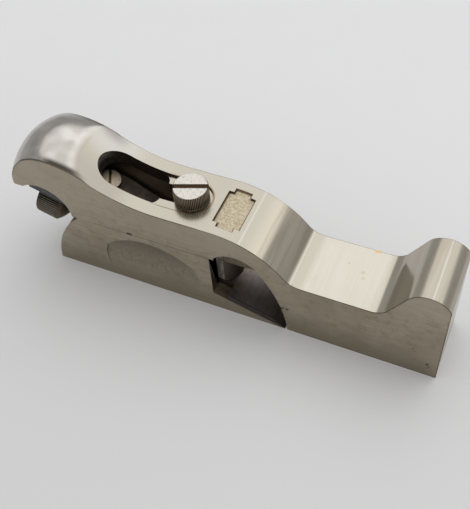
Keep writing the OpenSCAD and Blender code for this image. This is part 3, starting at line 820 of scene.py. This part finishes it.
def lower_plating():
    """Worn plating of the lower casting: dull scoops in its sides with a painted shadow under their upper
    edge, a brighter heel, stained inner faces, dirt and painted shade in corners.
    """
    s = Plating("lower_plating")
    stipple = s.noise((1.1, 1.0, 0.5), detail=4.0, shift=2.0)
    sunk = s.times(s.band(s.away, *SCOOP_AWAY), s.ramp(s.z, *SCOOP_Z),
                   s.ramp(s.math("ABSOLUTE", s.ny), *SCOOP_NY))
    scoop = s.vary(stipple, FIRM_SPAN, SCOOP)
    # painted shadow of the scoop's upper wall, where the scoop is deepest
    scoop = s.tint(scoop, SCOOP_SHADOW, 0.9, s.ramp(s.away, *SCOOP_DEEP_AWAY))
    colour = s.mix(sunk, side_colour(s), scoop)
    heel = s.times(s.ramp(s.nx, *HEEL_NX), s.ramp(s.x, *HEEL_X))
    colour = s.mix(heel, colour, s.vary(s.along, SOFT_SPAN, HEEL))
    bed = s.times(s.ramp(s.away, *BED_AWAY), s.without(heel), s.ramp(s.nz, *BED_NZ))
    colour = s.mix(bed, colour, s.vary(s.fleck, FIRM_SPAN, BED))
    cheek = s.times(s.ramp(s.nx, *CHEEK_NX), s.ramp(s.x, *CHEEK_X))
    colour = s.mix(cheek, colour, s.vary(s.fleck, SOFT_SPAN, CHEEK))
    ledge = s.times(s.ramp(s.nz, *LEDGE_NZ), s.ramp(s.x, *LEDGE_X), s.ramp(s.z, *LEDGE_Z))
    colour = s.mix(ledge, colour, s.vary(s.cloud, FIRM_SPAN, LEDGE))
    # dirt with painted shade, in the corners
    colour = s.tint(colour, LOWER_DIRT_AND_SHADE, 0.85, s.ramp(s.crevice(CASTING_CORNER), *LOWER_CORNER_SPAN))
    colour = s.mix(joint_line(s), colour, JOINT_DIRT)
    roughness = s.plus(s.ramp(s.along, *SOFT_SPAN, *LOWER_ROUGH), s.times(sunk, SCOOP_ADDS))
    roughness = s.most(roughness, s.times(bed, BED_ROUGH))
    height = s.plus(s.along, s.times(stipple, sunk, SCOOP_HEIGHT))
    return s.finish(colour, roughness, height, GRAIN_DEPTH)


def cutter_steel():
    """Ground tool steel, dark with age and rusty by the lever cap's nose, bluish at its tail, with painted
    shade on its sides and edges and a painted shadow where the handle covers its tail.
    """
    s = Shader("cutter_steel")
    lines = s.noise((4.0, 0.06, 4.0))
    cloud = s.noise((0.16, 0.16, 0.16), detail=5.0)
    rust = s.noise((0.55, 0.55, 0.55), detail=6.0, shift=3.0)
    lean = s.math("ABSOLUTE", s.ny)
    tail = s.ramp(s.x, *CUTTER_TAIL_X)
    colour = s.vary(lines, SOFT_SPAN, STEEL)
    colour = s.tint(colour, STEEL_CLOUD, 0.6, s.ramp(cloud, *STEEL_CLOUD_SPAN))
    colour = s.tint(colour, STEEL_RUST, 0.75, s.band(s.x, *CUTTER_RUST_X), s.ramp(rust, *STEEL_RUST_SPAN))
    # painted shade on the sides and rounded edges
    colour = s.mix(s.ramp(lean, *CUTTER_SIDE_NY), colour, STEEL_SIDE_SHADE)
    colour = s.mix(s.band(lean, *CUTTER_EDGE_NY), colour, STEEL_EDGE_SHADE)
    colour = s.mix(tail, colour, s.vary(lines, SOFT_SPAN, STEEL_TAIL))
    # painted shadow where the handle covers the tail
    colour = s.mix(s.times(tail, s.ramp(s.away, *CUTTER_COVERED_AWAY)), colour, STEEL_COVERED_SHADOW)
    return s.finish(colour, s.ramp(cloud, *SOFT_SPAN, *STEEL_ROUGH), lines, GRAIN_DEPTH)


def cap_casting():
    """Rough casting with a pitted skin, painted shade on the front of its nose, stained and darkened by
    painted shade under the handle.
    """
    s = Shader("cap_casting")
    grain = s.noise((1.8, 1.8, 1.8), detail=6.0, roughness=0.65)
    cloud = s.noise((0.2, 0.2, 0.2))
    nose_shade = s.times(s.ramp(s.nx, *CAP_NOSE_NX), s.ramp(s.x, *CAP_NOSE_X))
    colour = s.vary(grain, FIRM_SPAN, CAP)
    # painted shade on the front of the nose
    colour = s.mix(nose_shade, colour, CAP_NOSE_SHADE)
    # stains, darkened by painted shade, under the handle
    colour = s.mix(s.ramp(s.x, *CAP_FRONT_X), s.vary(cloud, CAP_STAIN_SPAN, CAP_STAIN_AND_SHADE), colour)
    return s.finish(colour, s.ramp(grain, *SOFT_SPAN, *CAP_ROUGH), grain, CAST_DEPTH)


class TurnedMetal(Shader):
    """Worn turned metal along z: one colour on top, one round its side, dirt in flecks, and dirt with
    painted shade in corners.
    """

    def __init__(self, name, top, side, dirt):
        super().__init__(name)
        self.dirt = dirt
        self.fleck = self.noise((1.1, 1.1, 1.1), detail=5.0)
        colour = self.mix(self.ramp(self.nz, *TURNED_TOP_NZ), side, top)
        colour = self.tint(colour, dirt, 0.4, self.ramp(self.fleck, *TURNED_FLECK_SPAN))
        # dirt with painted shade, in the corners
        corners = self.ramp(self.crevice(TURNED_CORNER), *TURNED_CORNER_SPAN)
        self.colour = self.tint(colour, dirt, 0.95, corners)

    def slotted(self, width, level, turn, colour):
        """Colours the inside of a slot that is cut into the top, which lies at a level."""
        along, aside = math.cos(math.radians(turn)), math.sin(math.radians(turn))
        off = self.apart(self.times(self.y, along), self.times(self.x, aside))
        inside = self.ramp(off, *around(width / 2, SLOT_SIDE_OFF))
        deep = self.band(self.z, *around(level - SLOT_D, SLOT_FLOOR_OFF), *around(level, SLOT_TOP_OFF))
        self.colour = self.mix(self.times(inside, deep), self.colour, colour)

    def knurled(self, outer, depth):
        """Paints shade into the grooves of a straight knurl, but not on the slopes beside it."""
        off = self.vector("LENGTH", self.join(self.x, self.y, 0.0))
        cut = self.band(off, *[outer - share * depth for share in KNURL_SHARES])
        darker = tuple(KNURL_SHADE_SHARE * part for part in self.dirt)
        self.colour = self.mix(self.times(cut, self.ramp(self.nz, *KNURL_NZ)), self.colour, darker)

    def made(self):
        """The material, with fine turning lines."""
        lines = self.noise((2.2, 2.2, 0.3), shift=6.0)
        roughness = self.ramp(self.fleck, *SOFT_SPAN, *TURNED_ROUGH)
        return self.finish(self.colour, roughness, lines, TURNED_DEPTH)


def screw_metal(level):
    """Body screw: bright worn top at a level, brown slot, dark knurl."""
    metal = TurnedMetal("body_screw_metal", *SCREW_METAL)
    metal.slotted(SLOT_W, level, SCREW_TURN, SCREW_SLOT)
    metal.knurled(SCREW_HEAD_R, SCREW_GROOVE)
    return metal.made()


def cap_screw_metal(level):
    """Lever cap screw: brown worn top at a level, dark slot."""
    metal = TurnedMetal("cap_screw_metal", *CAP_SCREW_METAL)
    metal.slotted(CAP_SLOT_W, level, CAP_SCREW_TURN, CAP_SCREW_SLOT)
    return metal.made()


def stud_metal():
    """Stud: plain turned steel."""
    return TurnedMetal("stud_metal", *STUD_METAL).made()


def nut_metal():
    """Nut: dark knurled steel."""
    metal = TurnedMetal("nut_metal", *NUT_METAL)
    metal.knurled(NUT_R, NUT_GROOVE)
    return metal.made()


def dress(node, material):
    """Gives a CAD node its material."""
    target = nodes[node]
    target.data.materials.clear()
    target.data.materials.append(material)


def round_edges(target, edge):
    """Rounds edges for the eye, by a width where they turn more than an angle, and evens the shading."""
    width, angle = edge
    bevel = target.modifiers.new("bevel", "BEVEL")
    bevel.width = width * MM
    bevel.segments = 2
    bevel.limit_method = "ANGLE"
    bevel.angle_limit = math.radians(angle)
    normals = target.modifiers.new("normals", "WEIGHTED_NORMAL")
    normals.keep_sharp = False


def soften(node):
    """Rounds the sharp edges of a CAD node by modifiers; its mesh stays as it is."""
    target = nodes[node]
    weld = target.modifiers.new("weld", "WELD")
    weld.merge_threshold = WELD_GAP * MM
    flat = target.modifiers.new("flat", "DECIMATE")
    flat.decimate_type = "DISSOLVE"
    flat.angle_limit = math.radians(FLAT_ANGLE)
    round_edges(target, CAD_EDGE)


def smooth(piece, edge):
    """Small round edges and even shading on a made piece."""
    for face in piece.data.polygons:
        face.use_smooth = True
    round_edges(piece, edge)


def axis_frame(joint):
    """Turns a piece made along z onto a joint's axis."""
    place = Vector(joints[joint]["pos_m"])
    up = Vector(joints[joint]["axis"]).normalized()
    ahead = (Vector((1.0, 0.0, 0.0)) - up * up.x).normalized()
    turn = Matrix((ahead, up.cross(ahead), up)).transposed()
    return Matrix.Translation(place) @ turn.to_4x4()


def reach(node, joint):
    """Lowest and highest place of a node along a joint's axis, in metres from the joint's point."""
    back = axis_frame(joint).inverted()
    heights = [(back @ vertex.co).z for vertex in nodes[node].data.vertices]
    return min(heights), max(heights)


def ring_point(radius, angle, level):
    """Point at a radius and an angle round z."""
    return radius * math.cos(angle), radius * math.sin(angle), level


def turned_piece(name, levels, radius, segments, bore=0.0):
    """A closed piece round z: radius(angle, level) at each level, with an optional bore."""
    angles = [2 * math.pi * i / segments for i in range(segments)]
    points = [ring_point(radius(angle, level), angle, level) for level in levels for angle in angles]
    rings = len(levels)
    if bore:
        points += [ring_point(bore, angle, level) for level in (levels[-1], levels[0]) for angle in angles]
        rings += 2
    faces = []
    for low in range(rings if bore else rings - 1):
        first, second = low * segments, (low + 1) % rings * segments
        for i in range(segments):
            j = (i + 1) % segments
            faces.append((first + i, first + j, second + j, second + i))
    if not bore:
        faces.append(tuple(reversed(range(segments))))
        faces.append(tuple(range((rings - 1) * segments, rings * segments)))
    mesh = bpy.data.meshes.new(name)
    mesh.from_pydata(points, [], faces)
    mesh.validate()
    piece = bpy.data.objects.new(name, mesh)
    bpy.context.scene.collection.objects.link(piece)
    return piece


def cut_slot(piece, width, top, turn):
    """Cuts a screwdriver slot straight across the top of a turned piece."""
    floor_z, over = top - SLOT_D * MM, top + BLADE_OVER * MM
    bpy.ops.mesh.primitive_cube_add(size=1.0)
    blade = bpy.context.object
    blade.scale = (BLADE_L * MM, width, over - floor_z)
    blade.rotation_euler = (0.0, 0.0, math.radians(turn))
    blade.location = (0.0, 0.0, (over + floor_z) / 2)
    cut = piece.modifiers.new("slot", "BOOLEAN")
    cut.object = blade
    cut.solver = "EXACT"
    bpy.context.view_layer.update()
    result = bpy.data.meshes.new_from_object(piece.evaluated_get(bpy.context.evaluated_depsgraph_get()))
    piece.modifiers.clear()
    piece.data = result
    bpy.data.objects.remove(blade)


def ridge(angle, count):
    """Height of a straight knurl, from zero in its grooves to one on its ridges."""
    return abs(math.cos(angle * count / 2)) ** RIDGE_POWER


def thread(angle, level, pitch):
    """Height of a thread, from zero in its groove to one on its crest."""
    turn = (level / pitch - angle / (2 * math.pi)) % 1.0
    return 1.0 - abs(2.0 * turn - 1.0)


def screw_shank(angle, level, shank_r):
    """Radius of a screw's threaded shank."""
    return shank_r - SCREW_THREAD_D * MM * (1 - thread(angle, level, SCREW_PITCH * MM))


def steps(low, high, pitch):
    """Evenly spaced levels, fine enough for a thread."""
    count = max(1, round((high - low) / pitch * LEVELS_PER_TURN))
    return [low + (high - low) * i / count for i in range(count + 1)]


def place_piece(piece, joint, node, body, material):
    """Puts a turned piece on its joint's axis, where it stands for a CAD node and takes its slot."""
    piece.matrix_world = axis_frame(joint)
    piece.data.materials.clear()
    piece.data.materials.append(material)
    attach(piece, body)
    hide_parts(node)


def body_screw():
    """Slotted screw with a straight knurl round its head and a thread on its shank."""
    low, high = reach("body_screw", "body_screw_turn")
    head_r, shank_r = SCREW_HEAD_R * MM, SCREW_SHANK_R * MM
    groove, chamfer = SCREW_GROOVE * MM, SCREW_CHAMFER * MM
    knurl_low, knurl_high = SCREW_KNURL_LOW * MM, high - chamfer
    shank_top = -STEP_GAP * MM

    def radius(angle, level):
        if level <= shank_top:
            return screw_shank(angle, level, shank_r)
        if level < knurl_low:
            return head_r - groove
        if level > knurl_high:
            return head_r - chamfer
        return head_r - groove * (1 - ridge(angle, SCREW_RIDGES))

    levels = steps(low, shank_top, SCREW_PITCH * MM)
    levels += [0.0, knurl_low, knurl_low + SCREW_KNURL_EASE * MM, knurl_high, high]
    piece = turned_piece("body_screw_knurled", levels, radius, SCREW_RIDGES * POINTS_PER_RIDGE)
    cut_slot(piece, SLOT_W * MM, high, SCREW_TURN)
    smooth(piece, SCREW_EDGE)
    place_piece(piece, "body_screw_turn", "body_screw", "body_screw", screw_metal(high / MM))


def adjuster_nut():
    """Knurled nut with a round front, bored for its stud."""
    back, front = reach("adjuster_nut", "nut_turn")
    nut_r, nose_r, tip_r = NUT_R * MM, NUT_NOSE_R * MM, NUT_TIP_R * MM
    nose_l, chamfer, groove = NUT_NOSE_L * MM, NUT_CHAMFER * MM, NUT_GROOVE * MM
    step = front - nose_l
    slope = step - (nut_r - nose_r)
    ball = (nose_r ** 2 + nose_l ** 2 - tip_r ** 2) / (2 * nose_l)
    ball_r = math.hypot(tip_r, ball)

    def radius(angle, level):
        if level > step:
            return min(nose_r, math.sqrt(max(0.0, ball_r ** 2 - (front - level - ball) ** 2)))
        if level < back + chamfer:
            return nut_r - chamfer
        cut = groove * (1 - ridge(angle, NUT_RIDGES))
        outer = nut_r - cut
        return outer if level <= slope else min(outer, nose_r + step - level - SLOPE_CUT * cut)

    levels = [back, back + chamfer, slope] + [slope + rise * MM for rise in NUT_SLOPE_LEVELS] + [step]
    levels += [step + NOSE_GAP * MM + nose_l * i / NUT_NOSE_STEPS for i in range(NUT_NOSE_STEPS)] + [front]
    points = NUT_RIDGES * POINTS_PER_RIDGE
    piece = turned_piece("adjuster_nut_knurled", levels, radius, points, NUT_BORE_R * MM)
    smooth(piece, NUT_EDGE)
    place_piece(piece, "nut_turn", "adjuster_nut", "adjuster_nut", nut_metal())


def lever_cap_screw():
    """Slotted screw with a smooth head, threaded through the lever cap."""
    low, high = reach("lever_cap_screw", "cap_screw_turn")
    head_r, shank_r, chamfer = CAP_SCREW_HEAD_R * MM, CAP_SCREW_SHANK_R * MM, SCREW_CHAMFER * MM
    head_low = high - CAP_SCREW_HEAD_H * MM

    def radius(angle, level):
        if level < head_low:
            return screw_shank(angle, level, shank_r)
        return head_r - (chamfer if level > high - chamfer else 0.0)

    levels = steps(low, head_low - STEP_GAP * MM, SCREW_PITCH * MM) + [head_low, high - chamfer, high]
    piece = turned_piece("lever_cap_screw_threaded", levels, radius, CAP_SCREW_POINTS)
    cut_slot(piece, CAP_SLOT_W * MM, high, CAP_SCREW_TURN)
    smooth(piece, SCREW_EDGE)
    place_piece(piece, "cap_screw_turn", "lever_cap_screw", "lever_cap_screw", cap_screw_metal(high / MM))


def adjuster_stud():
    """Threaded stud, fixed in the heel of the lower casting."""
    low, high = reach("adjuster_stud", "nut_turn")
    pitch = STUD_PITCH * MM

    def radius(angle, level):
        return STUD_R * MM - STUD_THREAD_D * MM * (1 - thread(angle, level, pitch))

    piece = turned_piece("adjuster_stud_threaded", steps(low, high, pitch), radius, STUD_POINTS)
    smooth(piece, STUD_EDGE)
    place_piece(piece, "nut_turn", "adjuster_stud", "lower_body", stud_metal())


def floor():
    """Pale paper, with painted shade that greys it in front and far from the object."""
    bpy.ops.mesh.primitive_plane_add(size=FLOOR_SIZE)
    plane = bpy.context.object
    plane.name = "floor"
    s = Shader("floor_paper", metallic=0.0)
    paper = s.mix(s.noise((0.05, 0.05, 0.05)), *PAPER)
    # painted shade: the paper greys towards the front and far from the object
    paper = s.mix(s.ramp(s.y, *FLOOR_FRONT_Y), paper, PAPER_FRONT_SHADE)
    paper = s.mix(s.ramp(s.vector("LENGTH", s.place), *FLOOR_FAR), paper, PAPER_FAR_SHADE)
    plane.data.materials.append(s.finish(paper, PAPER_ROUGH))


def lamp():
    """A square soft box that faces the object; the sky, not the lamp, is what the metal mirrors."""
    data = bpy.data.lights.new("overhead", "AREA")
    data.size = LAMP_SIZE
    data.energy = LAMP_POWER
    light = bpy.data.objects.new("overhead", data)
    light.location = LAMP_PLACE
    light.rotation_euler = (Vector(LAMP_TARGET) - Vector(LAMP_PLACE)).to_track_quat("-Z", "Y").to_euler()
    light.visible_glossy = False
    bpy.context.scene.collection.objects.link(light)


def sky():
    """Grey room with a large bright patch high up behind the object."""
    world = bpy.data.worlds.new("studio")
    bpy.context.scene.world = world
    world.use_nodes = True
    tree = world.node_tree
    tree.nodes.clear()
    coords = tree.nodes.new("ShaderNodeTexCoord")
    facing = tree.nodes.new("ShaderNodeVectorMath")
    facing.operation = "DOT_PRODUCT"
    facing.inputs[1].default_value = SKY_PATCH
    tree.links.new(coords.outputs["Generated"], facing.inputs[0])
    level = tree.nodes.new("ShaderNodeMapRange")
    level.interpolation_type = "SMOOTHSTEP"
    for socket, number in zip(level.inputs[1:5], (*SKY_EDGE, ROOM_LEVEL, SKY_LEVEL)):
        socket.default_value = number
    tree.links.new(facing.outputs["Value"], level.inputs[0])
    light = tree.nodes.new("ShaderNodeBackground")
    light.inputs["Color"].default_value = (1.0, 1.0, 1.0, 1.0)
    tree.links.new(level.outputs[0], light.inputs["Strength"])
    output = tree.nodes.new("ShaderNodeOutputWorld")
    tree.links.new(light.outputs[0], output.inputs["Surface"])


def camera():
    """Camera at the photograph's place and angle."""
    data = bpy.data.cameras.new("camera")
    data.lens = CAMERA_LENS
    data.sensor_width = CAMERA_SENSOR
    data.clip_start = CAMERA_CLIP
    eye = bpy.data.objects.new("camera", data)
    eye.location = CAMERA_PLACE
    eye.rotation_euler = Euler([math.radians(angle) for angle in CAMERA_TURN])
    bpy.context.scene.collection.objects.link(eye)
    bpy.context.scene.camera = eye


dress("upper_body", upper_plating())
dress("lower_body", lower_plating())
dress("cutter", cutter_steel())
dress("lever_cap", cap_casting())
body_screw()
adjuster_nut()
lever_cap_screw()
adjuster_stud()
for node in ("upper_body", "lower_body", "cutter", "lever_cap"):
    soften(node)

floor()
sky()
lamp()
camera()
bpy.context.scene.view_settings.view_transform = "Standard"
